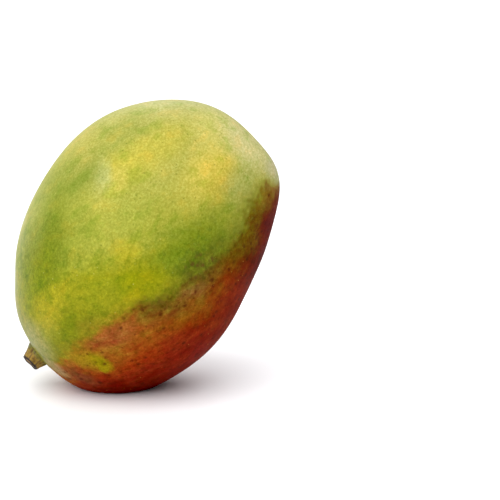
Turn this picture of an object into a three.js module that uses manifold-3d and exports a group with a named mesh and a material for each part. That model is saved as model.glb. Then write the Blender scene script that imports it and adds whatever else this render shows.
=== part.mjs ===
// A whole mango with the stub of its stem, one fruit at its real size.
// It stands tilted, stem end low, on the small flat spot under its shoulder.
// Millimetres, +Z up. The origin is the middle of that flat spot.
import * as THREE from "three";
import { mergeVertices } from "three/addons/utils/BufferGeometryUtils.js";
import Module from "manifold-3d";

const wasm = await Module();
wasm.setup();

// ---- Fruit: driving dimensions ----
const LENGTH = 125; // stem end to apex, before the swells and hollows below
const WIDTH = 95.5; // back to belly
const THICKNESS = 87; // cheek to cheek
const APEX_THINNING = 0.14; // how much thinner the apex end is than the middle
const BELLY_THINNING = 0.05; // how much thinner the belly is than the middle
const FRUIT_DETAIL = 18; // subdivisions of the icosahedron that the skin is drawn from

// ---- Pose: how the fruit stands ----
const TILT = 58; // degrees that the long axis rises from the surface, towards +X
const MIDDLE_HEIGHT = 56.2; // height of the fruit's middle above the surface
const MIDDLE_OFFSET = 11; // the fruit's middle lies this far to +X of the flat spot's middle
const REST_ROUNDING = 0.8; // how softly the flat spot runs into the round skin

// ---- Stem: driving dimensions ----
const STEM_ANGLE = -167.5; // where the stem grows, in degrees from the apex towards the belly
const STEM_SIDE = 2; // degrees that it grows out of the side outline, to the near cheek
const STEM_AIM_ANGLE = -164; // which way the stub points, in the same degrees
const STEM_AIM_SIDE = 18;
const STEM_ROOT_RADIUS = 5.9;
const STEM_END_RADIUS = 3.9;
const STEM_REACH = 5.8; // from the skin to the broken end
const STEM_ROOT_DEPTH = 3.4; // how deep its root sits in the fruit
const STEM_RIBS = 7; // lengthwise ribs round the stub
const STEM_RIB_HEIGHT = 0.22;
const STEM_OUT_OF_ROUND = 0.15; // how far its sides swell and dip on three sides
const STEM_DRY_SHRINK = 0.37; // how much the bare stub has shrunk below the root's radius
const STEM_BREAK_HEIGHT = 0.18; // how far the broken end stands up and dips
const STEM_DISH = 0.6; // how deep the middle of the broken end is
const STEM_SIDES = 42;
const SEAT_GAP = 0.3; // clearance between the root and the socket in the fruit

const degrees = THREE.MathUtils.degToRad;

// The fruit's own axes in the part's frame: towards the apex, the belly and the near cheek.
const APEX = new THREE.Vector3(Math.cos(degrees(TILT)), 0, Math.sin(degrees(TILT)));
const BELLY = new THREE.Vector3(Math.sin(degrees(TILT)), 0, -Math.cos(degrees(TILT)));
const CHEEK = new THREE.Vector3(0, -1, 0);
const MIDDLE = new THREE.Vector3(MIDDLE_OFFSET, 0, MIDDLE_HEIGHT);

// A direction from the fruit's middle: an angle from the apex towards the belly, along
// the side outline, then one out of the outline towards the near cheek, in degrees.
function direction(angle, out = 0) {
  const inOutline = Math.cos(degrees(out));
  return new THREE.Vector3()
    .addScaledVector(APEX, inOutline * Math.cos(degrees(angle)))
    .addScaledVector(BELLY, inOutline * Math.sin(degrees(angle)))
    .addScaledVector(CHEEK, Math.sin(degrees(out)));
}

// Swells (+) and hollows (-) on the plain egg: where, how high in mm, and how far they
// spread, in degrees, along the side outline and across it.
const FORMS = [
  { name: "beak", angle: 30, out: 0, height: 3.7, along: 13.5, across: 32 },
  { name: "sinus", angle: 78, out: 0, height: -2.7, along: 26, across: 38 },
  { name: "apex flat", angle: -26, out: 0, height: -0.9, along: 19, across: 28 },
  { name: "back", angle: -48, out: 0, height: 1.8, along: 32, across: 38 },
  { name: "belly shoulder", angle: 160, out: 0, height: 2, along: 12, across: 22 },
  { name: "resting side", angle: 147, out: 0, height: 0.7, along: 13, across: 20 },
  { name: "back shoulder", angle: -135, out: 0, height: -0.9, along: 10, across: 20 },
  { name: "near keel side", angle: 52, out: 38, height: -0.5, along: 22, across: 22 },
  { name: "far keel side", angle: 54, out: -36, height: -0.9, along: 22, across: 22 },
  { name: "stem basin", angle: STEM_ANGLE, out: STEM_SIDE, height: -1.5, along: 11, across: 11 },
];

function formHeight(form, unit) {
  const along = degrees(form.along) ** 2 / 2;
  const across = degrees(form.across) ** 2 / 2;
  const side = unit.dot(CHEEK) - Math.sin(degrees(form.out));
  const nearness = unit.dot(direction(form.angle, form.out)) - 1;
  return form.height * Math.exp(nearness / along + (side * side * (1 / along - 1 / across)) / 2);
}

// Distance from the fruit's middle to its skin, in the direction of a unit vector.
function skinRadius(unit) {
  const apex = unit.dot(APEX);
  const belly = unit.dot(BELLY);
  const cheek = unit.dot(CHEEK);
  const halfThickness = (THICKNESS / 2) * (1 - APEX_THINNING * apex - BELLY_THINNING * belly);
  const egg = 1 / Math.hypot(apex / (LENGTH / 2), belly / (WIDTH / 2), cheek / halfThickness);
  return FORMS.reduce((radius, form) => radius + formHeight(form, unit), egg);
}

// Presses the skin flat where it would pass below the surface, with a rounded rim.
function pressedFlat(z) {
  if (z <= -REST_ROUNDING) return 0;
  if (z >= REST_ROUNDING) return z;
  return (z + REST_ROUNDING) ** 2 / (4 * REST_ROUNDING);
}

function skinPoint(unit) {
  const point = MIDDLE.clone().addScaledVector(unit, skinRadius(unit));
  return point.setZ(pressedFlat(point.z));
}

// ---- Closed meshes as solids, for the one boolean cut ----
function closedGeometry(geometry) {
  const bare = geometry.clone().deleteAttribute("normal").deleteAttribute("uv");
  return mergeVertices(bare, 1e-4);
}

function toSolid(geometry) {
  const closed = closedGeometry(geometry);
  return new wasm.Manifold(
    new wasm.Mesh({
      numProp: 3,
      vertProperties: closed.attributes.position.array,
      triVerts: new Uint32Array(closed.index.array),
    }),
  );
}

function toGeometry(solid) {
  const mesh = solid.getMesh();
  const geometry = new THREE.BufferGeometry();
  geometry.setAttribute("position", new THREE.BufferAttribute(mesh.vertProperties, 3));
  geometry.setIndex(new THREE.BufferAttribute(mesh.triVerts, 1));
  geometry.computeVertexNormals();
  return geometry;
}

// ---- Where the stem stands: +Y of its own frame points out of the fruit ----
const stemAim = direction(STEM_AIM_ANGLE, STEM_AIM_SIDE);
const stemFrame = new THREE.Matrix4().compose(
  skinPoint(direction(STEM_ANGLE, STEM_SIDE)),
  new THREE.Quaternion().setFromUnitVectors(new THREE.Vector3(0, 1, 0), stemAim),
  new THREE.Vector3(1, 1, 1),
);

// ---- Fruit ----
function fruitGeometry() {
  const skin = new THREE.IcosahedronGeometry(1, FRUIT_DETAIL);
  const places = skin.attributes.position;
  const unit = new THREE.Vector3();
  for (let i = 0; i < places.count; i++) {
    unit.fromBufferAttribute(places, i).normalize();
    places.setXYZ(i, ...skinPoint(unit));
  }
  const socketDepth = STEM_ROOT_DEPTH + SEAT_GAP;
  const socket = new THREE.CylinderGeometry(
    STEM_ROOT_RADIUS + SEAT_GAP,
    STEM_ROOT_RADIUS + SEAT_GAP,
    2 * socketDepth,
    STEM_SIDES,
  ).applyMatrix4(stemFrame);
  return toGeometry(toSolid(skin).subtract(toSolid(socket)));
}

// ---- Stem: a short stub that tapers from its root to a ragged, dished break ----
// The outline of one side of the stub, from the middle of its root to the middle of its
// end. A share of 0 is the end's radius or the skin, 1 the root's radius or the full reach.
function stemOutline() {
  const radiusAt = (share) => THREE.MathUtils.lerp(STEM_END_RADIUS, STEM_ROOT_RADIUS, share);
  const shares = [
    [1, 0],
    [0.93, 0.12],
    [0.72, 0.3],
    [0.48, 0.5],
    [0.26, 0.72],
    [0.12, 0.92],
    [-0.04, 1],
  ];
  return [
    new THREE.Vector2(0, -STEM_ROOT_DEPTH),
    new THREE.Vector2(radiusAt(0.6), -STEM_ROOT_DEPTH),
    new THREE.Vector2(radiusAt(0.9), -0.7 * STEM_ROOT_DEPTH),
    ...shares.map(([radius, height]) => new THREE.Vector2(radiusAt(radius), height * STEM_REACH)),
    new THREE.Vector2(radiusAt(-0.35), STEM_REACH - STEM_DISH / 3),
    new THREE.Vector2(0, STEM_REACH - STEM_DISH),
  ];
}

function stemGeometry() {
  const stub = new THREE.LatheGeometry(stemOutline(), STEM_SIDES);
  const places = stub.attributes.position;
  for (let i = 0; i < places.count; i++) {
    const [x, y, z] = [places.getX(i), places.getY(i), places.getZ(i)];
    const turn = Math.atan2(z, x);
    const radius = Math.hypot(x, z);
    // The root below the skin stays round. Only the outermost tenth is torn at the end.
    const bare = THREE.MathUtils.smoothstep(y, 0, 0.3 * STEM_REACH);
    const torn = radius > 1 ? THREE.MathUtils.smoothstep(y, 0.72 * STEM_REACH, 0.94 * STEM_REACH) : 0;
    const rib = STEM_RIB_HEIGHT * Math.cos(STEM_RIBS * turn);
    const outOfRound = STEM_OUT_OF_ROUND * Math.cos(3 * turn + 1);
    const grown = radius > 0 ? (radius + bare * (rib + outOfRound - STEM_DRY_SHRINK)) / radius : 1;
    const ragged = torn * STEM_BREAK_HEIGHT * Math.cos(4 * turn + 2);
    places.setXYZ(i, x * grown, y + ragged, z * grown);
  }
  return toGeometry(toSolid(stub));
}

// ---- The mango ----
const skinFinish = new THREE.MeshStandardMaterial({ color: 0xa9ad3a, roughness: 0.4, metalness: 0 });
const stemFinish = new THREE.MeshStandardMaterial({ color: 0x7d6a22, roughness: 0.8, metalness: 0 });

const fruit = new THREE.Mesh(fruitGeometry(), skinFinish);
fruit.name = "fruit";

const stem = new THREE.Mesh(stemGeometry(), stemFinish);
stem.name = "stem";
stem.applyMatrix4(stemFrame);

const mango = new THREE.Group();
mango.add(fruit, stem);

export default mango;
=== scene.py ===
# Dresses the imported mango: a finely drawn skin and stem over the CAD solids, in a white studio.
# Metres, +Z up, in the CAD model's frame. The fruit's own axes run to its apex, belly and near cheek.
from math import cos, pi, radians, sin

import bpy
import numpy as np
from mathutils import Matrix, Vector, noise


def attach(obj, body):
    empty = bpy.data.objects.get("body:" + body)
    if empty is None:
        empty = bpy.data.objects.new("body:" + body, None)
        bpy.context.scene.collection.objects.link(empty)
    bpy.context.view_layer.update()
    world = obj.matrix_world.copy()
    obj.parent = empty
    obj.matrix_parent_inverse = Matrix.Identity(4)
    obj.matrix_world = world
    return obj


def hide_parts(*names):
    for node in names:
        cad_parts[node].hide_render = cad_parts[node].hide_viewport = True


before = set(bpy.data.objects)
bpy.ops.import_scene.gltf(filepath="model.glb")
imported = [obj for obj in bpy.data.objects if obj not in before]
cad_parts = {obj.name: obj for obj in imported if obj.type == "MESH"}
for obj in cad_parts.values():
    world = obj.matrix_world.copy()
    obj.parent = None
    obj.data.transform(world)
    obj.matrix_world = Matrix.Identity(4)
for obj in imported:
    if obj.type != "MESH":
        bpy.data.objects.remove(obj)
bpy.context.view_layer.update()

MM = 0.001
TINY = 1e-6  # a length in metres that is as good as none

# ---- Fruit: the CAD model's driving dimensions ----
LENGTH = 125 * MM
WIDTH = 95.5 * MM
THICKNESS = 87 * MM
APEX_THINNING = 0.14  # how much thinner the apex end is than the middle
BELLY_THINNING = 0.05  # how much thinner the belly is than the middle
TILT = radians(58)  # rise of the long axis from the surface, towards +X
MIDDLE = np.array([11, 0, 56.2]) * MM
REST_ROUNDING = 0.8 * MM  # how softly the flat spot runs into the round skin

APEX = np.array([cos(TILT), 0, sin(TILT)])
BELLY = np.array([sin(TILT), 0, -cos(TILT)])
CHEEK = np.array([0, -1, 0])

# Swells and hollows: angle from the apex towards the belly, angle out towards the near
# cheek, height in mm, then spread in degrees along the side outline and across it.
STEM_ANGLE, STEM_SIDE = -167.5, 2
FORMS = {
    "beak": (30, 0, 3.7, 13.5, 32),
    "sinus": (78, 0, -2.7, 26, 38),
    "apex flat": (-26, 0, -0.9, 19, 28),
    "back": (-48, 0, 1.8, 32, 38),
    "belly shoulder": (160, 0, 2, 12, 22),
    "resting side": (147, 0, 0.7, 13, 20),
    "back shoulder": (-135, 0, -0.9, 10, 20),
    "near keel side": (52, 38, -0.5, 22, 22),
    "far keel side": (54, -36, -0.9, 22, 22),
    "stem basin": (STEM_ANGLE, STEM_SIDE, -1.5, 11, 11),
}

# ---- Fruit: relief too fine for the CAD model, all of it inwards but the collar ----
LUMP_SIZE, LUMP_DEPTH = 17 * MM, 0.22 * MM
DIMPLE_SIZE, DIMPLE_DEPTH = 6 * MM, 0.07 * MM
SEAM_WIDTH, SEAM_DEPTH = 0.9 * MM, 0.55 * MM  # the crease where the skin meets the stem
COLLAR_WIDTH, COLLAR_HEIGHT = 1.6 * MM, 0.3 * MM  # the low swelling round that crease
SKIN_RINGS, SKIN_SEGMENTS = 270, 288
RING_EVENNESS = 0.25  # 1 spaces the rings evenly, 0 crowds them most round the stem
DIMPLES_ASIDE = 1  # metres that the dimples' noise is read aside, so that they don't follow the lumps

# ---- Stem: the CAD model's driving dimensions ----
STEM_AIM_ANGLE, STEM_AIM_SIDE = -164, 18
STEM_ROOT_RADIUS = 5.9 * MM
STEM_END_RADIUS = 3.9 * MM
STEM_REACH = 5.8 * MM
STEM_ROOT_DEPTH = 3.4 * MM
STEM_RIBS = 7
STEM_RIB_HEIGHT = 0.22 * MM
STEM_LOBES, STEM_LOBE_TURN = 3, 1  # how many sides swell out, and their turn in radians
STEM_OUT_OF_ROUND = 0.15 * MM
STEM_DRY_SHRINK = 0.37 * MM
STEM_BREAK_PEAKS, STEM_BREAK_TURN = 4, 2  # the same for the peaks of the broken end
STEM_BREAK_HEIGHT = 0.18 * MM
STEM_DISH = 0.6 * MM

# ---- Stem: its outline, and the bark and torn fibres that are too fine for the CAD model ----
# Height as a share of the stem's reach, and radius from 0, the end's, to 1, the root's.
STEM_PROFILE = (
    (-0.51, 0.6), (-0.35, 0.9), (0, 1), (0.12, 0.93), (0.3, 0.72),
    (0.5, 0.48), (0.72, 0.26), (0.92, 0.12), (1, -0.04),
)
STEM_END_INSET = 0.93  # first ring of the end face, as a share of the end's radius
RIBS_BEGIN = (0, 0.3)  # the ribs set in between these shares of the reach
TEAR_BEGINS = (0.72, 0.9)  # and the torn end between these
BARK_BEGINS = (0, 1 * MM)  # the bark sets in over this height
BARK_DEPTH = 0.1 * MM  # how far the middle of the bark's relief lies in
BARK_RIDGE_SIZE, BARK_RIDGE_HEIGHT = 0.5 * MM, 0.07 * MM
BARK_RIDGE_SQUEEZE = 0.22  # share of the height that their noise is read at, for long ridges
BARK_CRUMB_SIZE, BARK_CRUMB_HEIGHT = 0.9 * MM, 0.08 * MM
FIBRE_SIZE, FIBRE_HEIGHT, FIBRE_DEPTH = 0.45 * MM, 0.16 * MM, 0.1 * MM
STEM_ROOT_RINGS, STEM_RINGS, STEM_END_RINGS = 8, 60, 16
STEM_SEGMENTS = 144


def direction(angle, out):
    """A unit vector from the fruit's middle, by its angles in degrees as in FORMS."""
    angle, out = radians(angle), radians(out)
    in_outline = cos(angle) * APEX + sin(angle) * BELLY
    return cos(out) * in_outline + sin(out) * CHEEK


def smoothstep(values, low, high):
    share = np.clip((values - low) / (high - low), 0, 1)
    return share * share * (3 - 2 * share)


def skin_radius(units):
    """How far the skin is from the fruit's middle in each of these directions."""
    apex, belly, cheek = units @ APEX, units @ BELLY, units @ CHEEK
    half_thickness = THICKNESS / 2 * (1 - APEX_THINNING * apex - BELLY_THINNING * belly)
    egg = np.sqrt((2 * apex / LENGTH) ** 2 + (2 * belly / WIDTH) ** 2 + (cheek / half_thickness) ** 2)
    radius = 1 / egg
    for angle, out, height, along, across in FORMS.values():
        along, across = radians(along) ** 2 / 2, radians(across) ** 2 / 2
        side = cheek - sin(radians(out))
        nearness = units @ direction(angle, out) - 1
        radius = radius + height * MM * np.exp(nearness / along + side**2 * (1 / along - 1 / across) / 2)
    return radius


def pressed_flat(z):
    """Presses what would pass below the surface flat, with a rounded rim."""
    rim = (z + REST_ROUNDING) ** 2 / (4 * REST_ROUNDING)
    return np.where(z <= -REST_ROUNDING, 0, np.where(z >= REST_ROUNDING, z, rim))


def noise_at(points, size):
    """Smooth noise from -1 to 1 whose lumps are about this size, at each point."""
    return np.array([noise.noise(Vector(point / size)) for point in points])


STEM_AIM = direction(STEM_AIM_ANGLE, STEM_AIM_SIDE)
STEM_UNIT = direction(STEM_ANGLE, STEM_SIDE)
STEM_FOOT = MIDDLE + STEM_UNIT * skin_radius(STEM_UNIT[None])[0]


def grid_faces(rings, segments):
    """Quads between closed rings of points, one ring after the other."""
    ring, turn = np.meshgrid(np.arange(rings - 1), np.arange(segments), indexing="ij")
    after = (turn + 1) % segments
    here, above = ring * segments, (ring + 1) * segments
    corners = (here + turn, here + after, above + after, above + turn)
    return np.stack(corners, -1).reshape(-1, 4)


def mesh_piece(name, points, faces):
    mesh = bpy.data.meshes.new(name)
    mesh.from_pydata([tuple(p) for p in points], [], [tuple(int(i) for i in f) for f in faces])
    mesh.validate()
    mesh.shade_smooth()
    piece = bpy.data.objects.new(name, mesh)
    bpy.context.scene.collection.objects.link(piece)
    return piece


def build_skin():
    """The skin in rings round the stem, closer together near it."""
    share = np.arange(1, SKIN_RINGS) / SKIN_RINGS
    polar = pi * (RING_EVENNESS * share + (1 - RING_EVENNESS) * share**2)
    turn = 2 * pi * np.arange(SKIN_SEGMENTS) / SKIN_SEGMENTS
    across = np.cross(STEM_UNIT, CHEEK)
    across /= np.linalg.norm(across)
    beside = np.cross(STEM_UNIT, across)
    spokes = np.cos(turn)[:, None] * across + np.sin(turn)[:, None] * beside
    units = np.cos(polar)[:, None, None] * STEM_UNIT + np.sin(polar)[:, None, None] * spokes
    units = np.vstack([STEM_UNIT[None], units.reshape(-1, 3), -STEM_UNIT[None]])

    points = MIDDLE + units * skin_radius(units)[:, None]
    lumps = LUMP_DEPTH * (noise_at(points, LUMP_SIZE) - 1) / 2
    dimples = DIMPLE_DEPTH * (noise_at(points + DIMPLES_ASIDE, DIMPLE_SIZE) - 1) / 2
    from_foot = points - STEM_FOOT
    off_axis = np.linalg.norm(from_foot - np.outer(from_foot @ STEM_AIM, STEM_AIM), axis=1)
    off_axis = np.where(units @ STEM_UNIT > 0, off_axis, np.inf)  # the far end is out of its reach
    seam = -SEAM_DEPTH * np.exp(-(((off_axis - STEM_ROOT_RADIUS) / SEAM_WIDTH) ** 2))
    collar_middle = STEM_ROOT_RADIUS + COLLAR_WIDTH
    collar = COLLAR_HEIGHT * np.exp(-(((off_axis - collar_middle) / COLLAR_WIDTH) ** 2))
    points += units * (lumps + dimples + seam + collar)[:, None]
    points[:, 2] = pressed_flat(points[:, 2])

    quads = grid_faces(SKIN_RINGS - 1, SKIN_SEGMENTS) + 1
    last = len(points) - 1
    first_ring = [(0, 1 + i, 1 + (i + 1) % SKIN_SEGMENTS) for i in range(SKIN_SEGMENTS)]
    start = last - SKIN_SEGMENTS
    last_ring = [(last, start + (i + 1) % SKIN_SEGMENTS, start + i) for i in range(SKIN_SEGMENTS)]
    return mesh_piece("mango_skin", points, [*first_ring, *quads[:, ::-1], *last_ring])


# ---- Node graphs ----
def linear(r, g, b):
    """An sRGB colour of 0 to 255 as the linear colour that nodes take."""
    channels = np.array([r, g, b]) / 255
    low, high = channels / 12.92, ((channels + 0.055) / 1.055) ** 2.4
    return (*np.where(channels <= 0.04045, low, high).tolist(), 1.0)


# Each colour is this share of what it looks like in the overexposed white studio.
DEPTH_OF_COLOUR = 0.74
DRIFT_DETAIL = 3
DOT_CORE = 0.3  # a dot is full within this share of its radius
DOT_SHRINK = 0.5  # a dot may be smaller than the largest by up to this share


class Graph:
    """Adds nodes to a material or world. Each call returns the output of the node it adds."""

    def __init__(self, owner):
        owner.use_nodes = True
        self.owner = owner
        self.tree = owner.node_tree
        self.tree.nodes.clear()

    def add(self, kind, inputs, output=0, **settings):
        node = self.tree.nodes.new(kind)
        for name, value in settings.items():
            setattr(node, name, value)
        for key, value in inputs.items():
            if isinstance(value, bpy.types.NodeSocket):
                self.tree.links.new(value, node.inputs[key])
            else:
                node.inputs[key].default_value = value
        return node.outputs[output]

    def math(self, operation, a, b):
        return self.add("ShaderNodeMath", {0: a, 1: b}, operation=operation)

    def vector(self, operation, a, b=(0, 0, 0), output=0):
        return self.add("ShaderNodeVectorMath", {0: a, 1: b}, output, operation=operation)

    def dot(self, vector, axis):
        return self.vector("DOT_PRODUCT", vector, axis, "Value")

    def scaled(self, vector, factor):
        """The vector made longer or shorter, or the colour made lighter or darker."""
        return self.add("ShaderNodeVectorMath", {0: vector, "Scale": factor}, operation="SCALE")

    def tint(self, colour, factors):
        """The colour with its red, green and blue each multiplied."""
        return self.vector("MULTIPLY", colour, factors)

    def spread(self, share, low, high):
        """Goes evenly from low to high as the share goes from 0 to 1."""
        return self.add("ShaderNodeMath", {0: share, 1: high - low, 2: low}, operation="MULTIPLY_ADD")

    def place_from(self, origin):
        """The point on the surface, in mm from this point of the frame."""
        here = self.add("ShaderNodeTexCoord", {}, "Object")
        return self.scaled(self.vector("SUBTRACT", here, origin.tolist()), 1 / MM)

    def noise(self, place, size, detail, rough=0.5, output=0):
        """Noise from 0 to 1 whose lumps are about this size."""
        inputs = {"Vector": place, "Scale": 1 / size, "Detail": detail, "Roughness": rough}
        return self.add("ShaderNodeTexNoise", inputs, output)

    def streaks(self, place, size, detail, rough, spin, stretch):
        """Noise from 0 to 1 that is drawn out in one direction along the cheek."""
        inputs = {"Vector": place, "Rotation": (0, 0, radians(spin)), "Scale": (stretch, 1, 1)}
        drawn_out = self.add("ShaderNodeMapping", inputs, vector_type="TEXTURE")
        return self.noise(drawn_out, size, detail, rough)

    def drifted(self, place, drifts):
        """The place moved about by soft noise, so that patches get irregular outlines."""
        for size, reach in drifts:
            noise_colour = self.noise(place, size, DRIFT_DETAIL, output="Color")
            drift = self.vector("SUBTRACT", noise_colour, (0.5, 0.5, 0.5))
            place = self.vector("ADD", place, self.scaled(drift, 2 * reach))
        return place

    def fade(self, value, low, high, to_low=0.0, to_high=1.0):
        """Goes smoothly from to_low to to_high as the value goes from low to high."""
        inputs = {"Value": value, 1: low, 2: high, 3: to_low, 4: to_high}
        return self.add("ShaderNodeMapRange", inputs, interpolation_type="SMOOTHSTEP")

    def fade_linear(self, value, low, high):
        """Goes evenly from 0 to 1 as the value goes from low to high."""
        return self.add("ShaderNodeMapRange", {"Value": value, 1: low, 2: high})

    def mix(self, share, a, b):
        """Colour a where the share is 0, colour b where it is 1."""
        return self.add("ShaderNodeMix", {0: share, 6: a, 7: b}, 2, data_type="RGBA")

    def between(self, share, a, b):
        """Number a where the share is 0, number b where it is 1."""
        return self.add("ShaderNodeMix", {0: share, 2: a, 3: b})

    def steps(self, value, stops):
        """A colour that changes evenly between stops of (value, colour)."""
        first, last = stops[0][0], stops[-1][0]
        output = self.add("ShaderNodeValToRGB", {0: self.fade_linear(value, first, last)})
        elements = output.node.color_ramp.elements
        elements[0].color, elements[1].color = stops[0][1], stops[-1][1]
        for at, colour in stops[1:-1]:
            elements.new((at - first) / (last - first)).color = colour
        return output

    def profile(self, value, points):
        """A smooth curve through points of (value, height), level beyond them."""
        first, last = points[0][0], points[-1][0]
        low, high = min(y for x, y in points), max(y for x, y in points)
        output = self.add("ShaderNodeFloatCurve", {"Value": self.fade_linear(value, first, last)})
        line = output.node.mapping.curves[0]
        shares = [((x - first) / (last - first), (y - low) / (high - low)) for x, y in points]
        line.points[0].location, line.points[1].location = shares[0], shares[-1]
        for place in shares[1:-1]:
            line.points.new(*place)
        output.node.mapping.update()
        return self.spread(output, low, high)

    def dots(self, place, spacing, radius, share):
        """Small soft dots of up to this radius, strewn over this share of the places."""
        cells = self.add("ShaderNodeTexVoronoi", {"Vector": place, "Scale": 1 / spacing}).node
        draws = self.add("ShaderNodeSeparateColor", {0: cells.outputs["Color"]}).node.outputs
        smaller = self.spread(draws[1], 0, DOT_SHRINK * radius / spacing)
        away = self.math("ADD", cells.outputs["Distance"], smaller)
        dot = self.fade(away, DOT_CORE * radius / spacing, radius / spacing, 1, 0)
        chosen = self.math("LESS_THAN", draws[0], share)
        return self.math("MULTIPLY", dot, chosen)

    def patch(self, place, middle, size, spin, soft, strength):
        """A soft-edged oval: strength inside it, 0 outside."""
        inputs = {"Vector": place, "Location": middle, "Rotation": (0, 0, radians(spin)), "Scale": size}
        inside = self.add("ShaderNodeMapping", inputs, vector_type="TEXTURE")
        away = self.vector("LENGTH", inside, output="Value")
        return self.fade(away, 1 - soft, 1 + soft, strength, 0)

    def patched(self, place, colour, patches):
        """The colour with each of these soft ovals of colour laid over it in turn."""
        for *oval, tint in patches.values():
            colour = self.mix(self.patch(place, *oval), colour, tint)
        return colour

    def dappled(self, colour, pattern, strength, tints):
        """The colour tinted where the pattern goes from each tint's start to its end."""
        for start, end, factors in tints:
            share = self.fade(pattern, start, end, 0, strength)
            colour = self.mix(share, colour, self.tint(colour, factors))
        return colour

    def bump(self, height, strength, distance):
        return self.add("ShaderNodeBump", {"Strength": strength, "Distance": distance, "Height": height})

    def finish(self, shader):
        kind = "World" if isinstance(self.owner, bpy.types.World) else "Material"
        output = self.tree.nodes.new("ShaderNodeOutput" + kind)
        self.tree.links.new(shader, output.inputs["Surface"])
        return self.owner


# ---- Skin: colours and where they lie ----
# Places are in mm along the fruit's own axes: apex, belly and near cheek.

UP = (sin(TILT), -cos(TILT), 0)  # straight up

# The green ground, by how high the place is above the fruit's middle as the fruit lies: its own
# colour, paler and greyer towards the top as painted sheen from the light above.
GROUND_WITH_PAINTED_SHEEN = (
    (-34, linear(136, 132, 22)),
    (-14, linear(150, 150, 26)),
    (-4, linear(152, 154, 26)),
    (8, linear(170, 170, 57)),
    (20, linear(176, 175, 67)),
    (34, linear(184, 181, 81)),
    (50, linear(184, 180, 92)),
    (57, linear(190, 188, 110)),
    (64, linear(206, 204, 150)),
)

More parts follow.
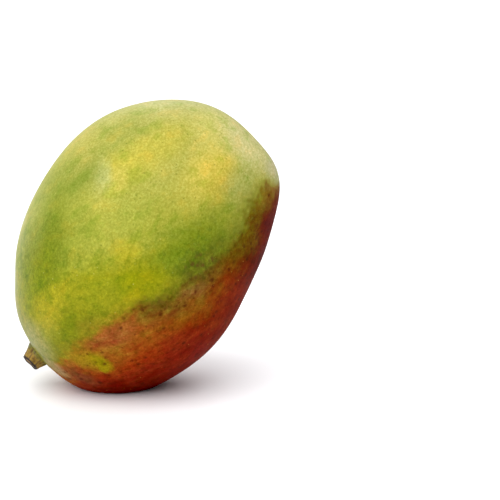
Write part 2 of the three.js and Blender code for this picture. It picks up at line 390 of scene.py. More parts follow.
# Patches: middle, size, how far turned in degrees about the cheek axis, softness,
# strength and colour.
PATCHES = {
    "green brow": ((34, -33, 21), (14, 6.5, 22), 23, 0.7, 0.9, linear(166, 168, 72)),
    "yellow shoulder": ((24, -26, 31), (12, 6, 22), 23, 0.7, 0.85, linear(191, 181, 62)),
    "yellow back": ((40, -18, 26), (14, 6, 22), 28, 0.8, 0.7, linear(198, 187, 66)),
    "yellow near the apex": ((43, 4, 28), (12, 8, 22), 10, 0.8, 0.9, linear(222, 202, 88)),
    "yellow crown": ((56, -3, 16), (9, 7, 20), 10, 0.7, 0.6, linear(220, 210, 110)),
    "gold streak": ((20, -25.5, 34), (7, 2.8, 20), 8, 0.8, 0.5, linear(214, 198, 94)),
    # Painted highlight: a pale streak of gloss on the upper cheek.
    "painted highlight streak": ((18.5, -31, 30.5), (5.5, 2.8, 20), -14, 1, 0.5, linear(184, 194, 130)),
    "green shoulder": ((15, -38, 25.5), (11, 6, 22), 0, 0.6, 0.8, linear(140, 150, 60)),
    "soft green flank": ((-8, -27, 36), (12, 7, 22), -20, 0.7, 0.75, linear(144, 154, 50)),
    "soft green shoulder": ((3, -34, 31), (10, 6, 22), 0, 0.7, 0.4, linear(148, 157, 56)),
    "green flank": ((-5, -40, 25), (14, 6, 24), -8, 0.7, 0.8, linear(130, 142, 40)),
    "green by the flank": ((-15, -33, 32), (12, 6, 24), -20, 0.7, 0.8, linear(116, 130, 30)),
    "green lower flank": ((-26, -33, 28), (14, 7, 24), -12, 0.7, 0.85, linear(120, 132, 16)),
    "yellow above the stem": ((-33, -20, 36), (10, 6, 22), 20, 0.8, 0.75, linear(168, 158, 32)),
    "green above the blush": ((-37, -12, 36.5), (10, 4, 20), 12, 0.6, 0.85, linear(122, 130, 14)),
    "yellow middle": ((1, -8, 43), (5, 4, 20), 40, 0.7, 0.5, linear(198, 180, 36)),
    "green above the belt": ((14, 3, 40), (8, 5, 22), 30, 0.7, 0.6, linear(138, 152, 46)),
    "lime below the middle": ((-6, 3, 43), (9, 7, 22), 20, 0.7, 0.85, linear(160, 157, 6)),
    "pale middle": ((1, -16, 41), (9, 6, 22), 20, 0.8, 0.1, linear(182, 189, 98)),
    "olive edge of the shoulder": ((22, -41, 17), (8, 4.5, 12), 0, 0.8, 0.55, linear(190, 180, 86)),
    "gold by the apex": ((41, 9, 28), (7, 5, 20), 0, 0.8, 0.6, linear(220, 194, 76)),
    "soft green middle": ((14, -14, 39), (8, 6, 20), 20, 0.8, 0.4, linear(162, 172, 64)),
    "yellow below the middle": ((6, 3.5, 42), (6, 4, 20), 20, 0.8, 0.5, linear(176, 168, 24)),
    "olive above the tongue": ((-30.5, -6, 40.5), (4, 3, 20), 33, 0.8, 0.5, linear(134, 112, 26)),
    # Painted highlight: pale gloss by the beak.
    "painted highlight by the beak": ((44, 17, 24), (8, 6, 14), 0, 0.7, 0.6, linear(184, 184, 106)),
    # Painted highlight: the broad pale sheen by the apex, on top as the fruit lies.
    "painted highlight by the apex": ((60, 14, 9), (12, 14, 14), 0, 0.6, 0.85, linear(224, 216, 148)),
    "green edge of the shoulder": ((5, -45, 15), (12, 5, 12), 0, 0.8, 0.7, linear(144, 154, 58)),
    "green edge of the flank": ((-19, -40, 19), (10, 5, 10), -15, 0.8, 0.6, linear(124, 134, 42)),
    # Painted highlight: pale gloss on the beak.
    "painted highlight on the beak": ((54.5, 27, 6), (5.5, 4.5, 10), 0, 0.7, 0.8, linear(222, 214, 168)),
    # Painted reflection: the pale rim of the white room seen edge on along the back.
    "painted reflection along the back": ((-22, -46, 0), (30, 12, 18), -28, 1, 0.42, linear(178, 179, 112)),
    # Painted reflection: the white floor's pale gleam on the edge by the stem.
    "painted reflection by the stem": ((-50, -17, 21), (9, 8, 8), 20, 0.6, 0.7, linear(168, 162, 104)),
    "yellow rim by the stem": ((-43, -18, 30), (5, 4, 10), 0, 0.7, 0.4, linear(174, 166, 58)),
    "far yellow saddle": ((16, -20, -34), (22, 10, 22), 30, 0.8, 0.8, linear(204, 186, 66)),
    "far green band": ((-8, -8, -42), (20, 7, 20), 42, 0.7, 0.8, linear(128, 142, 36)),
    "far green shoulder": ((38, 2, -28), (12, 9, 20), -20, 0.8, 0.7, linear(140, 154, 52)),
    "far gold by the stem": ((-36, -22, -30), (12, 8, 20), 10, 0.8, 0.75, linear(188, 160, 36)),
    "far green back": ((2, -44, -14), (24, 9, 12), -6, 0.7, 0.6, linear(136, 148, 46)),
}

# The blush's edge on each cheek, and how quickly its colours follow each other: apex axis,
# then belly axis in mm or steepness, from the stem end up.
NEAR_EDGE = (
    (-65, -9), (-52, -7), (-37, -4.5), (-22, 0.5), (-15, 4.5), (-7, 12.5),
    (8, 18), (16, 22.5), (25, 26), (35, 24.5), (43, 25), (46.5, 27), (50, 33), (54, 37), (65, 40),
)
FAR_EDGE = (
    (-65, -9), (-50, -4), (-34, 3), (-18, -1), (-2, 5),
    (12, 16), (24, 12), (38, 16), (50, 26), (65, 38),
)
STEEPNESS = (
    (-65, 1.8), (-52, 1.6), (-38, 1.05), (-22, 1), (-8, 1.3), (8, 1.65), (25, 2.5), (40, 3), (65, 3),
)
FAR_STEEPNESS = 1.15
CHEEKS_MEET = 9  # mm to each side of the keel in which one cheek's edge becomes the other's
EDGE_STREAK_REACH = 4  # mm that streaks push the edge in and out
EDGE_SPECKLE_REACH = 6
EDGE_WAVE_REACH = 16  # mm that the edge wanders on the far cheek
EDGE_WAVES_START = 8  # mm to each side of the keel in which the waves set in
BLUSH_COVERS = (-5, 4)  # from how deep the blush begins to where it hides the green, in mm

# The blush by how deep the place is inside it, at three stations along the fruit, and where
# on the apex axis each station's colours give way to the next one's.
STEM_TO_MIDDLE = (-25, -7)
MIDDLE_TO_APEX = (6, 22)
BLUSH_BY_STEM = (
    (-2, linear(134, 126, 24)),
    (2, linear(150, 112, 28)),
    (5, linear(154, 94, 29)),
    (9, linear(162, 97, 32)),
    (13, linear(161, 93, 28)),
    (17, linear(160, 84, 23)),
    (21, linear(158, 71, 21)),
    (25, linear(155, 55, 20)),
    (29, linear(142, 42, 18)),
    (34, linear(140, 37, 16)),
    (40, linear(134, 33, 16)),
)
BLUSH_MIDDLE = (
    (0, linear(125, 122, 26)),
    (4, linear(122, 103, 26)),
    (8, linear(127, 90, 26)),
    (13, linear(138, 94, 27)),
    (17, linear(142, 86, 20)),
    (21, linear(144, 75, 13)),
    (25, linear(145, 62, 10)),
    (29, linear(138, 44, 7)),
    (33, linear(137, 42, 11)),
    (40, linear(130, 36, 12)),
)
BLUSH_BY_APEX = (
    (0, linear(118, 116, 24)),
    (5, linear(116, 105, 18)),
    (10, linear(114, 88, 12)),
    (16, linear(112, 75, 6)),
    (22, linear(107, 49, 4)),
    (28, linear(108, 32, 4)),
    # The deepest two stops are partly the fruit's deep red and partly painted shade, as cast by a fruit
    # lying against the belly.
    (34, linear(94, 16, 5)),
    (42, linear(82, 10, 6)),
)
BLUSH_PATCHES = {
    "ochre by the tongue": ((-40, 2.5, 36.5), (3.4, 3, 18), 33, 0.7, 0.7, linear(162, 112, 30)),
    "salmon by the tongue": ((-35.5, 0.8, 39), (4.5, 3, 18), 33, 0.7, 0.35, linear(158, 98, 36)),
    "salmon": ((-29.5, 5, 41), (8, 4, 20), 33, 0.7, 0.6, linear(156, 82, 42)),
    "ochre rim": ((-24, -0.5, 43), (7, 2.4, 20), 38, 0.7, 0.6, linear(170, 128, 36)),
    "maroon under the tongue": ((-53.5, 4.5, 25), (2.6, 7, 9), 0, 0.6, 0.8, linear(122, 55, 33)),
    "dusky smear": ((-13.5, 12.5, 42), (6, 3, 20), 35, 0.7, 0.5, linear(106, 86, 22)),
    "tan smear": ((0.5, 22, 37), (4, 2.6, 20), 31, 0.8, 0.5, linear(150, 106, 52)),
    "red stripe": ((-34, 19, 34), (9, 3.4, 20), 41, 0.7, 0.5, linear(160, 48, 14)),
    # Painted shade: the lowest skin darkened where the fruit rests on the floor.
    "painted contact shade": ((-52, 26, 12), (12, 12, 20), 45, 0.6, 0.6, linear(104, 22, 12)),
    "pink on the beak": ((48, 31, 12), (2.4, 5, 12), 0, 0.7, 0.5, linear(168, 112, 66)),
    "maroon under the beak": ((43, 34, 13), (4, 4, 12), 0, 0.8, 0.6, linear(102, 38, 5)),
    "tan under the beak": ((44, 29, 17), (4.5, 3.5, 12), 0, 0.8, 0.55, linear(150, 108, 34)),
    "far salmon": ((-20, 8, -40), (14, 5, 20), 30, 0.8, 0.7, linear(168, 98, 50)),
    "far orange": ((22, 20, -28), (12, 5, 18), 10, 0.9, 0.7, linear(176, 104, 26)),
    "far red": ((8, 30, -26), (20, 7, 16), 30, 0.9, 0.6, linear(158, 46, 22)),
    "pink keel": ((34, 38, -6), (14, 10, 14), 20, 1, 0.6, linear(150, 40, 26)),
}

# The belt of deeper green that borders the blush: how strong it is along the apex axis, and
# from how deep in the blush's edge, in mm, it begins and turns olive.
BELT = (
    (-65, 0.2), (-24, 0.1), (-10, 0.2), (-3, 0.2), (3, 0.75), (9, 1),
    (19, 0.95), (25, 0.7), (36, 0.3), (50, 0.1), (65, 0),
)
BELT_BEGINS = (-24, -11)
BELT_TURNS_OLIVE = (-10, -1)
BELT_GREEN = linear(128, 144, 32)
BELT_OLIVE = linear(118, 126, 28)
BELT_DEEP = linear(92, 116, 30)  # in its blotches
BELT_BLOTCH_SHARE = (0.48, 0.66, 0, 0.5)  # from which value of their noise to which, and strength

# Patches over the blush by the stem: a lime tongue that it leaves clear, and a pale painted reflection
# along the edge.
LIME = linear(158, 141, 18)
STEM_END_PATCHES = {
    "ochre tongue": ((-44.3, 1.6, 34), (7.2, 3.4, 14), 76, 0.6, 0.85, linear(162, 134, 27)),
    "lime tongue": ((-42.6, 7.4, 34.3), (4, 2.8, 14), 90, 0.4, 0.95, LIME),
    "tip of the tongue": ((-44.2, 9.4, 32.8), (2.2, 1.7, 14), 90, 0.5, 0.85, LIME),
    "neck of the tongue": ((-42, 4, 35), (4, 2.2, 14), 76, 0.6, 0.6, LIME),
    # Painted reflection: a narrow pale band along the edge by the stem.
    "painted reflection round the stem": ((-56.8, -6.5, 20), (2.9, 6.5, 6), 0, 0.6, 0.6, linear(172, 158, 112)),
}

# Dusky smudges and freckles where the green meets the blush.
DUSKY_PATCHES = (
    ((10, 19, 37), (9, 6, 22), 22, 0.7, 1),
    ((-7, 14, 42), (9, 4, 22), 32, 0.8, 0.45),
)
DUSK = linear(82, 70, 24)
DUSKY_BLOT_SHARE = (0.3, 0.7, 0, 0.62)

# Noise over the skin: size of its lumps in mm, detail and roughness.
EDGE_WAVES = (20, 3, 0.6)
EDGE_SPECKLE = (1.8, 3, 0.6)
BELT_BLOTCHES = (3.2, 3, 0.65)
DUSKY_BLOTS = (3.4, 3, 0.6)
MOTTLE = (2.8, 4, 0.72)
GRAIN = (0.9, 3, 0.75)
PORES = (5, 2)
WAX_CLOUDS = (12, 3)

# Streaks: the same, then which way they run in degrees and how many times they are drawn out.
EDGE_STREAKS = (5, 4, 0.6, 30, 1.8)
GREEN_CLOUDS = (6, 4, 0.6, 23, 1.6)
BLUSH_CLOUDS = (5.5, 3, 0.6, 36, 2.4)
BLUSH_STREAKS = (2.8, 4, 0.65, 38, 2.2)

# Where such a pattern tints the skin: from which value to which, and how much red, green and
# blue are multiplied there.
GREEN_CLOUD_TINTS = ((0.5, 0.68, (0.68, 0.83, 0.5)), (0.48, 0.32, (1.2, 1.04, 0.95)))
BLUSH_CLOUD_TINTS = ((0.5, 0.66, (1.12, 1.5, 1.3)), (0.5, 0.34, (0.88, 0.6, 0.8)))
BLUSH_STREAK_TINTS = ((0.5, 0.7, (1.18, 1.6, 1.5)), (0.5, 0.3, (0.8, 0.5, 0.6)))
MOTTLE_TINTS = ((0.5, 0.7, (0.7, 0.79, 0.6)), (0.5, 0.3, (1.23, 1.18, 1.22)))
GREEN_CLOUD_STRENGTH, BLUSH_CLOUD_STRENGTH, BLUSH_STREAK_STRENGTH = 0.7, 0.6, 0.75
MOTTLE_FADES = (-8, 30, 1.25, 0.36)  # from how high to how high, and its strength there
GRAIN_ENDS = (0.3, 0.7)  # from where to where the grain goes from dark to light
GRAIN_SHADES, GRAIN_BLUE_SHADES = (0.84, 1.12), (0.72, 1.22)
SPECK_BEGINS, SPECK_TINT = (0.45, 0.75), (1.3, 1.3, 1.9)
SPECK_STRENGTH = (0.3, 0.35)  # in the green and in the blush

# How far patterns are moved about: size of the drift's lumps and its reach in mm, in turn.
PATCH_DRIFT = ((18, 4), (4, 1.2))
STEM_END_DRIFT = ((5, 1.6), (1.5, 0.7))
LENTICEL_DRIFT = ((1.4, 0.6),)

# Lenticels: where they are, whether they drift, their spacing and largest radius in mm, how
# many of the places have one, and their strength and colour.
LENTICELS = {
    "pale": ("green", False, 2.2, 0.38, 0.6, 0.35, linear(222, 216, 122)),
    "green": ("green", True, 1.8, 0.5, 0.7, 0.55, linear(100, 110, 24)),
    "freckle": ("dusk", True, 3.1, 1.7, 0.9, 0.75, linear(100, 68, 30)),
    "dark": ("deep blush", True, 3.7, 1.5, 0.8, 0.75, linear(80, 30, 10)),
    "small dark": ("deep blush", True, 2.1, 0.9, 0.7, 0.5, linear(80, 30, 10)),
    "gold": ("blush", False, 2.6, 0.38, 0.5, 0.6, linear(206, 150, 60)),
}
DEEP_BLUSH = (-3, 6)  # from how deep in the blush's edge the dark lenticels begin, in mm

SKIN_IOR = 1.16  # a thin dull wax: hardly any mirror gloss face on, a pale rim seen edge on
WAX_ROUGHNESS = (0.3, 0.7, 0.34, 0.44)  # from which value of its clouds to which, and roughness
BLUSH_ROUGHER = 0.36
SKIN_BUMP = (0.35, 0.1 * MM)  # strength and height
GRAIN_RELIEF, LENTICEL_RELIEF = 0.5, 0.3  # as shares of the pores' relief


def fruit_place(graph):
    """The point on the surface in mm along the fruit's own axes: one vector of three parts."""
    place = graph.place_from(MIDDLE)
    parts = [graph.dot(place, axis.tolist()) for axis in (APEX, BELLY, CHEEK)]
    return graph.add("ShaderNodeCombineXYZ", dict(enumerate(parts)))


def blush_depth(graph, place, along, across, out):
    """How far inside the blush's edge the place is, in mm, and how ripe its colour is there."""
    is_near = graph.fade(out, -CHEEKS_MEET, CHEEKS_MEET)
    edge = graph.between(is_near, graph.profile(along, FAR_EDGE), graph.profile(along, NEAR_EDGE))
    depth = graph.math("SUBTRACT", across, edge)
    streaks = graph.streaks(place, *EDGE_STREAKS)
    depth = graph.math("ADD", depth, graph.spread(streaks, -EDGE_STREAK_REACH, EDGE_STREAK_REACH))
    waves = graph.spread(graph.noise(place, *EDGE_WAVES), -EDGE_WAVE_REACH, EDGE_WAVE_REACH)
    is_far = graph.fade(out, EDGE_WAVES_START, -EDGE_WAVES_START)
    depth = graph.math("ADD", depth, graph.math("MULTIPLY", waves, is_far))
    steepness = graph.between(is_near, FAR_STEEPNESS, graph.profile(along, STEEPNESS))
    return depth, graph.math("MULTIPLY", depth, steepness)


def blush_cover(graph, place, depth):
    """1 where the blush hides the green, 0 outside it, speckled along its edge."""
    speckle = graph.spread(graph.noise(place, *EDGE_SPECKLE), -EDGE_SPECKLE_REACH, EDGE_SPECKLE_REACH)
    return graph.fade(graph.math("ADD", depth, speckle), *BLUSH_COVERS)


def belted(graph, place, colour, along, depth):
    """The ground with the blotched belt of deeper green in it that borders the blush."""
    belt = graph.math("MULTIPLY", graph.fade(depth, *BELT_BEGINS), graph.profile(along, BELT))
    olive = graph.mix(graph.fade(depth, *BELT_TURNS_OLIVE), BELT_GREEN, BELT_OLIVE)
    blotches = graph.fade(graph.noise(place, *BELT_BLOTCHES), *BELT_BLOTCH_SHARE)
    return graph.mix(belt, colour, graph.mix(blotches, olive, BELT_DEEP))


def blush_colour(graph, place, loose, along, ripe):
    """Orange to maroon by how ripe the place is, with patches, clouds and streaks."""
    by_stem = graph.steps(ripe, BLUSH_BY_STEM)
    halfway = graph.steps(ripe, BLUSH_MIDDLE)
    by_apex = graph.steps(ripe, BLUSH_BY_APEX)
    colour = graph.mix(graph.fade(along, *STEM_TO_MIDDLE), by_stem, halfway)
    colour = graph.mix(graph.fade(along, *MIDDLE_TO_APEX), colour, by_apex)
    colour = graph.patched(loose, colour, BLUSH_PATCHES)
    clouds = graph.streaks(place, *BLUSH_CLOUDS)
    colour = graph.dappled(colour, clouds, BLUSH_CLOUD_STRENGTH, BLUSH_CLOUD_TINTS)
    streaks = graph.streaks(place, *BLUSH_STREAKS)
    return graph.dappled(colour, streaks, BLUSH_STREAK_STRENGTH, BLUSH_STREAK_TINTS)


def dusky_share(graph, loose):
    """1 in the dusky patches, 0 outside them."""
    first, second = [graph.patch(loose, *oval) for oval in DUSKY_PATCHES]
    return graph.math("MAXIMUM", first, second)


def mottled(graph, place, colour):
    """The colour with darker and lighter mottling, which is strongest low on the fruit."""
    strength = graph.fade(graph.dot(place, UP), *MOTTLE_FADES)
    return graph.dappled(colour, graph.noise(place, *MOTTLE), strength, MOTTLE_TINTS)


def grained(graph, colour, grain, cover):
    """The colour with fine grain in it, strongest in its blue, and pale bright specks."""
    shade = graph.fade(grain, *GRAIN_ENDS, *GRAIN_SHADES)
    blue_shade = graph.fade(grain, *GRAIN_ENDS, *GRAIN_BLUE_SHADES)
    shades = graph.add("ShaderNodeCombineXYZ", {0: shade, 1: shade, 2: blue_shade})
    colour = graph.tint(colour, shades)
    strength = graph.spread(cover, *SPECK_STRENGTH)
    specks = graph.math("MULTIPLY", graph.fade(grain, *SPECK_BEGINS), strength)
    return graph.mix(specks, colour, graph.tint(colour, SPECK_TINT))


def with_lenticels(graph, place, colour, areas):
    """The colour with every kind of lenticel strewn over its area, and the pale ones alone."""
    drifted = graph.drifted(place, LENTICEL_DRIFT)
    kinds = {}
    for kind, (area, drifts, spacing, radius, share, strength, tint) in LENTICELS.items():
        kinds[kind] = graph.dots(drifted if drifts else place, spacing, radius, share)
        dots = graph.math("MULTIPLY", graph.math("MULTIPLY", kinds[kind], areas[area]), strength)
        colour = graph.mix(dots, colour, tint)
    return colour, kinds["pale"]


def skin_relief(graph, place, grain, pale_dots):
    """Shallow orange-peel pores, and the pale lenticels standing a little proud."""
    relief = graph.math("ADD", graph.spread(grain, 0, GRAIN_RELIEF), graph.noise(place, *PORES))
    relief = graph.math("ADD", relief, graph.math("MULTIPLY", pale_dots, LENTICEL_RELIEF))
    return graph.bump(relief, *SKIN_BUMP)


def skin_material():
    graph = Graph(bpy.data.materials.new("mango_skin"))
    place = fruit_place(graph)
    loose = graph.drifted(place, PATCH_DRIFT)
    along, across, out = graph.add("ShaderNodeSeparateXYZ", {0: loose}).node.outputs
    depth, ripe = blush_depth(graph, place, along, across, out)

    # The green ground with its painted sheen, its patches, some of them painted highlights and
    # reflections, the belt and soft clouds.
    colour = graph.patched(loose, graph.steps(graph.dot(loose, UP), GROUND_WITH_PAINTED_SHEEN), PATCHES)
    colour = belted(graph, place, colour, along, depth)
    clouds = graph.streaks(place, *GREEN_CLOUDS)
    colour = graph.dappled(colour, clouds, GREEN_CLOUD_STRENGTH, GREEN_CLOUD_TINTS)

    # The blush over the belly side, and what lies over it.
    cover = blush_cover(graph, place, depth)
    colour = graph.mix(cover, colour, blush_colour(graph, place, loose, along, ripe))
    colour = graph.patched(graph.drifted(place, STEM_END_DRIFT), colour, STEM_END_PATCHES)
    dusky = dusky_share(graph, loose)
    blots = graph.fade(graph.noise(place, *DUSKY_BLOTS), *DUSKY_BLOT_SHARE)
    colour = graph.mix(graph.math("MULTIPLY", dusky, blots), colour, DUSK)

    # What covers all of the skin.
    colour = mottled(graph, place, colour)
    grain = graph.noise(place, *GRAIN)
    colour = grained(graph, colour, grain, cover)
    areas = {
        "green": graph.math("SUBTRACT", 1, cover),
        "dusk": dusky,
        "blush": cover,
        "deep blush": graph.fade(depth, *DEEP_BLUSH),
    }
    colour, pale_dots = with_lenticels(graph, place, colour, areas)

    wax = graph.fade(graph.noise(place, *WAX_CLOUDS), *WAX_ROUGHNESS)
    inputs = {
        "Base Color": graph.scaled(colour, DEPTH_OF_COLOUR),
        "Roughness": graph.math("ADD", wax, graph.spread(cover, 0, BLUSH_ROUGHER)),
        "Normal": skin_relief(graph, place, grain, pale_dots),
        "IOR": SKIN_IOR,
    }
    return graph.finish(graph.add("ShaderNodeBsdfPrincipled", inputs))


# ---- Stem ----
def build_stem():
    """A tapering ribbed stub with a ragged, dished end, its root sunk into the skin."""
    root_heights = np.linspace(-STEM_ROOT_DEPTH, 0, STEM_ROOT_RINGS)
    side_heights = np.linspace(0, STEM_REACH, STEM_RINGS)[1:]
    heights = np.concatenate([root_heights, side_heights])
    share = np.interp(heights / STEM_REACH, *zip(*STEM_PROFILE))
    radii = STEM_END_RADIUS + share * (STEM_ROOT_RADIUS - STEM_END_RADIUS)
    # The end face: rings towards its middle, dished.
    inwards = np.linspace(STEM_END_INSET, 0, STEM_END_RINGS)
    heights = np.concatenate([heights, STEM_REACH - STEM_DISH * (1 - inwards**2)])
    radii = np.concatenate([radii, radii[-1] * inwards])
    is_end = np.arange(len(heights)) >= len(heights) - len(inwards)

    turn = 2 * pi * np.arange(STEM_SEGMENTS) / STEM_SEGMENTS
    bare = smoothstep(heights / STEM_REACH, *RIBS_BEGIN)[:, None]
    torn = smoothstep(heights / STEM_REACH, *TEAR_BEGINS)[:, None]
    ribs = STEM_RIB_HEIGHT * np.cos(STEM_RIBS * turn)
    lobes = STEM_OUT_OF_ROUND * np.cos(STEM_LOBES * turn + STEM_LOBE_TURN)
    swell = bare * ((ribs + lobes)[None] - STEM_DRY_SHRINK) * (radii / radii.max())[:, None]
    spread = np.maximum(radii[:, None] + swell, 0)
    peaks = STEM_BREAK_HEIGHT * np.cos(STEM_BREAK_PEAKS * turn + STEM_BREAK_TURN)
    rise = torn * peaks[None] * (spread / spread.max())
    level = heights[:, None] + rise
    x, z = spread * np.cos(turn), spread * np.sin(turn)
    local = np.stack([x, level, z], -1).reshape(-1, 3)

    # Bark: fine ridges that run lengthwise, and torn fibres on the end.
    ridges = noise_at(local * [1, BARK_RIDGE_SQUEEZE, 1], BARK_RIDGE_SIZE) * BARK_RIDGE_HEIGHT
    crumbs = noise_at(local, BARK_CRUMB_SIZE) * BARK_CRUMB_HEIGHT
    end = np.repeat(is_end, STEM_SEGMENTS)
    outward = local * [1, 0, 1]
    outward /= np.maximum(np.linalg.norm(outward, axis=1), TINY)[:, None]
    bark = smoothstep(local[:, 1], *BARK_BEGINS) * (ridges + crumbs - BARK_DEPTH)
    local += np.where(end, 0, bark)[:, None] * outward
    fibres = noise_at(local, FIBRE_SIZE) * FIBRE_HEIGHT - FIBRE_DEPTH
    local[:, 1] += np.where(end, fibres, 0)

    spin = Vector((0, 1, 0)).rotation_difference(Vector(STEM_AIM)).to_matrix()
    points = local @ np.array(spin).T + STEM_FOOT
    faces = grid_faces(len(heights), STEM_SEGMENTS)
    root = tuple(range(STEM_SEGMENTS))
    return mesh_piece("mango_stem", points, [root, *faces[:, ::-1]])


STEM_GREEN = linear(112, 118, 28)
STEM_OCHRE = linear(164, 130, 38)
STEM_BROWN = linear(84, 54, 16)
STEM_DARK = linear(34, 20, 10)
STEM_PALE = linear(158, 122, 78)

# Noise in the wood: size of its lumps in mm, detail and roughness.
WOOD_STREAKS = (0.7, 3, 0.6)
WOOD_STREAK_SQUEEZE = 0.15  # share of the height that their noise is read at, for long streaks
WOOD_BLOTS = (2.2, 3, 0.55)
WOOD_FIBRES = (0.5, 3)
WOOD_GRAIN = (0.4, 2)

# Where the stub's colours change, in mm above the skin or from the broken end, and how far
# noise moves the change. At the foot the change is painted shade, brown for the crease where the stub
# meets the skin.
GREEN_TO_OCHRE, OCHRE_MOVED = (2.2, 5), 3
FOOT_PAINTED_SHADE = (1.2, 0.5, 0, 0.7)  # and how strong it is at each
DARK_RIM, RIM_MOVED = (-0.7, -0.1), 0.6
END_FACE, END_FACE_RADIUS = (-1.1, -0.9), (3.1, 2.7)

# From which value of their noise to which, and how strong or rough the wood is there.
BROWN_STREAKS = (0.44, 0.64, 0, 0.7)
BROWN_BLOTS = (0.5, 0.75, 0, 0.45)
DARK_FIBRES = (0.4, 0.65)
STEM_ROUGHNESS = (0.3, 0.7, 0.62, 0.8)
STEM_BUMP = (0.8, 0.25 * MM)  # strength and height
WOOD_GRAIN_RELIEF = 0.5  # as a share of the streaks' relief


def stem_material():
    """Green at its foot to dry ochre and brown, with painted shade where it meets the skin, a dark rim
    and a pale, fibrous end.
    """
    graph = Graph(bpy.data.materials.new("mango_stem"))
    place = graph.place_from(STEM_FOOT)
    height = graph.dot(place, STEM_AIM.tolist())
    on_axis = graph.scaled(STEM_AIM.tolist(), height)
    off_axis = graph.vector("SUBTRACT", place, on_axis)
    out = graph.vector("LENGTH", off_axis, output="Value")
    from_end = graph.math("SUBTRACT", height, STEM_REACH / MM)
    squeezed = graph.vector("ADD", off_axis, graph.scaled(on_axis, WOOD_STREAK_SQUEEZE))
    streaks = graph.noise(squeezed, *WOOD_STREAKS)
    blots = graph.noise(place, *WOOD_BLOTS)

    ripening = graph.math("ADD", height, graph.math("MULTIPLY", blots, OCHRE_MOVED))
    colour = graph.mix(graph.fade(ripening, *GREEN_TO_OCHRE), STEM_GREEN, STEM_OCHRE)
    colour = graph.mix(graph.fade(streaks, *BROWN_STREAKS), colour, STEM_BROWN)
    colour = graph.mix(graph.fade(blots, *BROWN_BLOTS), colour, STEM_BROWN)
    # Painted shade: brown laid over the stub's foot for the shade in the crease at the skin.
    foot = graph.fade(graph.math("ADD", height, blots), *FOOT_PAINTED_SHADE)
    colour = graph.mix(foot, colour, STEM_BROWN)
    drying = graph.math("ADD", from_end, graph.math("MULTIPLY", streaks, RIM_MOVED))
    colour = graph.mix(graph.fade(drying, *DARK_RIM), colour, STEM_DARK)
    face = graph.math("MULTIPLY", graph.fade(from_end, *END_FACE), graph.fade(out, *END_FACE_RADIUS))
    fibres = graph.fade(graph.noise(place, *WOOD_FIBRES), *DARK_FIBRES)
    colour = graph.mix(face, colour, graph.mix(fibres, STEM_PALE, STEM_DARK))

    grain = graph.math("MULTIPLY", graph.noise(place, *WOOD_GRAIN), WOOD_GRAIN_RELIEF)
    relief = graph.math("ADD", streaks, grain)
    inputs = {
        "Base Color": graph.scaled(colour, DEPTH_OF_COLOUR),
        "Roughness": graph.fade(blots, *STEM_ROUGHNESS),
        "Normal": graph.bump(relief, *STEM_BUMP),
    }
    return graph.finish(graph.add("ShaderNodeBsdfPrincipled", inputs))


# ---- Studio ----
FLOOR_SIZE = 6.0
FLOOR_DROP = 0.1 * MM  # how far the floor lies below the fruit's flat spot
FLOOR_CLOUDS = (0.3, 2)  # size of its noise in metres, and detail
FLOOR_SHADES = (linear(244, 244, 246), linear(248, 248, 250))
FLOOR_ROUGHNESS = 0.6
LIGHTS = {  # where each broad soft light comes from, its power and its spread in degrees
    "front": ((-0.35, -0.65, 0.95), 2.3, 70),
    "back": ((0.1, 0.6, 1.0), 1.12, 70),
}
ROOM_BRIGHTNESS = 0.81
# A screen low on the right and a reflector low on the left of the room: from where to where
# they set in, to the right or left and downwards, as parts of a direction.
SCREEN_ACROSS, SCREEN_DOWN = (0.1, 0.6), (0.8, 0.4)
SCREEN_SHADE = 0.15  # how much of the room's light comes from the dark screen
REFLECTOR_ACROSS, REFLECTOR_DOWN = (-0.4, -0.8), (0.5, 0.2)
REFLECTOR_GLOW = 0.7  # what the white reflector adds
BLACK_LEVEL = 0.006  # the picture's blacks are set as a printed photograph's are
VIEW_DISTANCE = 0.8
VIEW_RISE = radians(10)
VIEW_WIDTH = 0.2  # what the picture shows across, at the fruit
VIEW_RIGHT, VIEW_DOWN = 42.5 * MM, 1.9 * MM  # from the fruit's middle to the picture's middle
CLIP_START, CLIP_END = 0.01, 20


def floor_material():
    graph = Graph(bpy.data.materials.new("floor"))
    clouds = graph.noise(graph.add("ShaderNodeTexCoord", {}, "Object"), *FLOOR_CLOUDS)
    colour = graph.mix(clouds, *FLOOR_SHADES)
    inputs = {"Base Color": colour, "Roughness": FLOOR_ROUGHNESS}
    return graph.finish(graph.add("ShaderNodeBsdfPrincipled", inputs))


def build_floor():
    half = FLOOR_SIZE / 2
    corners = [(-half, -half, 0), (half, -half, 0), (half, half, 0), (-half, half, 0)]
    floor = mesh_piece("floor", np.array(corners) - [0, 0, FLOOR_DROP], [(0, 1, 2, 3)])
    floor.data.materials.append(floor_material())


def build_lights():
    """Broad soft lights, the same all over the floor."""
    for name, (place, power, spread) in LIGHTS.items():
        light = bpy.data.lights.new(name, "SUN")
        light.energy = power
        light.angle = radians(spread)
        lamp = bpy.data.objects.new(name, light)
        lamp.rotation_euler = (-Vector(place)).to_track_quat("-Z", "Y").to_euler()
        bpy.context.scene.collection.objects.link(lamp)


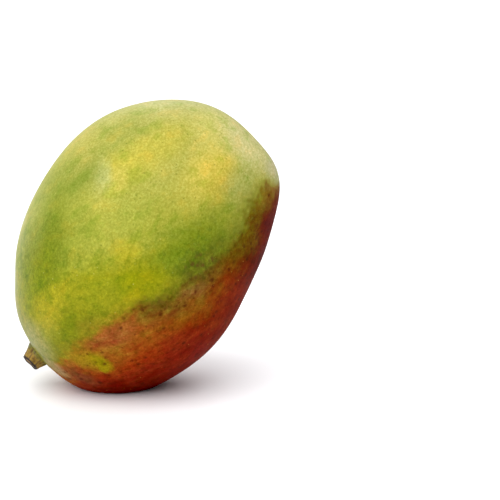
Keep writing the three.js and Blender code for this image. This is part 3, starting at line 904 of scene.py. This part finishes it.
def build_room():
    """A white room with a screen and a reflector in it, whose wall shows as plain white."""
    graph = Graph(bpy.data.worlds.new("studio"))
    towards = graph.add("ShaderNodeTexCoord", {}, "Generated")
    right, _, up = graph.add("ShaderNodeSeparateXYZ", {0: towards}).node.outputs
    screen = graph.math("MULTIPLY", graph.fade(right, *SCREEN_ACROSS), graph.fade(up, *SCREEN_DOWN))
    light = graph.spread(screen, ROOM_BRIGHTNESS, ROOM_BRIGHTNESS * SCREEN_SHADE)
    low_left = graph.fade(right, *REFLECTOR_ACROSS)
    reflector = graph.math("MULTIPLY", low_left, graph.fade(up, *REFLECTOR_DOWN))
    light = graph.math("ADD", light, graph.spread(reflector, 0, REFLECTOR_GLOW))
    is_seen = graph.add("ShaderNodeLightPath", {}, "Is Camera Ray")
    strength = graph.between(is_seen, light, 1)
    shader = graph.add("ShaderNodeBackground", {"Color": (1, 1, 1, 1), "Strength": strength})
    bpy.context.scene.world = graph.finish(shader)


def develop_picture():
    view = bpy.context.scene.view_settings
    view.view_transform = "Standard"
    view.use_curve_mapping = True
    view.curve_mapping.black_level = (BLACK_LEVEL,) * 3
    view.curve_mapping.update()


def build_camera():
    """Straight in front of the fruit and a little above it, turned to its right."""
    back = Vector((0, -cos(VIEW_RISE), sin(VIEW_RISE)))
    up = Vector((0, sin(VIEW_RISE), cos(VIEW_RISE)))
    camera = bpy.data.objects.new("camera", bpy.data.cameras.new("camera"))
    bpy.context.scene.collection.objects.link(camera)
    camera.location = Vector(MIDDLE) + VIEW_DISTANCE * back
    aim = Vector(MIDDLE) + Vector((VIEW_RIGHT, 0, 0)) - VIEW_DOWN * up
    camera.rotation_euler = (aim - camera.location).to_track_quat("-Z", "Y").to_euler()
    camera.data.lens = camera.data.sensor_width * VIEW_DISTANCE / VIEW_WIDTH
    camera.data.clip_start, camera.data.clip_end = CLIP_START, CLIP_END
    bpy.context.scene.camera = camera


skin = build_skin()
skin.data.materials.append(skin_material())
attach(skin, "root")
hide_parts("fruit")

stem = build_stem()
stem.data.materials.append(stem_material())
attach(stem, "root")
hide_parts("stem")

build_floor()
build_lights()
build_room()
build_camera()
develop_picture()
